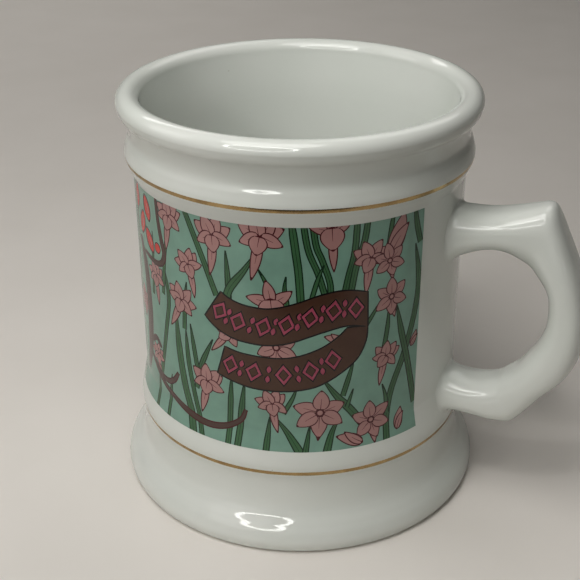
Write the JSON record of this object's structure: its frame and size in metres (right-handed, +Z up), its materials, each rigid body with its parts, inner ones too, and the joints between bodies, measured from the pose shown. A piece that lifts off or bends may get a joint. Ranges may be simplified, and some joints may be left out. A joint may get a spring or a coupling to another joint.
{
  "type": "ceramic mug",
  "caption": "Porcelain mug with a rolled rim, flared foot, spurred D-shaped handle, gold lines and a wrap-around printed panel of flowers; holds a hot drink.",
  "frame": {"origin": "on the table plane, under the middle of the whole outline, so the mug's own axis is about 12 mm towards -X", "axes": "+Z up, +X towards the handle, +Y to the left seen from the handle's side"},
  "size_m": [0.1128, 0.0882, 0.097],
  "materials": {
    "body_porcelain": "clear gloss glaze over white porcelain, bare on the foot ring",
    "handle_porcelain": "clear gloss glaze over white porcelain",
    "slip": "fired slip under glaze",
    "gold": "burnished liquid gold, fired on the glaze",
    "print": "multi-colour screen-printed enamel, fired on the glaze"
  },
  "bodies": {
    "root": {"mug_body": "body_porcelain", "handle": "handle_porcelain", "upper_slip_joint": "slip", "lower_slip_joint": "slip", "upper_gold_line": "gold", "lower_gold_line": "gold", "print_transfer": "print"}
  },
  "joints": []
}
